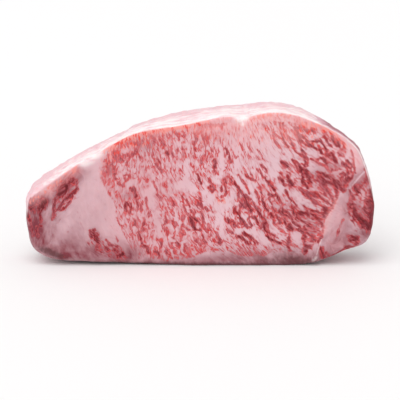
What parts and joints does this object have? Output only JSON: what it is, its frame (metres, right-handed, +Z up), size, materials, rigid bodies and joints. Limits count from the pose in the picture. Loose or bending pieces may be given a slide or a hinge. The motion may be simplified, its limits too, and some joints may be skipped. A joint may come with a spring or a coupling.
{
  "type": "raw sirloin steak",
  "caption": "Thick raw sirloin steak with dense fine marbling, a pale fat cap and a tapering tail, standing on its trimmed edge with the cut face to the front.",
  "frame": {"origin": "middle of the steak's outline box, on the plane that its trimmed edge rests on", "axes": "+Z up towards the fat cap, +X from the tail towards the chine end, -Y out of the cut face with the open marbling, +Y through the thickness"},
  "size_m": [0.2016, 0.03, 0.0918],
  "materials": {
    "meat": "moist raw beef, pink fat marbled with red lean, pale fat cap"
  },
  "bodies": {
    "root": {"steak": "meat"}
  },
  "joints": []
}
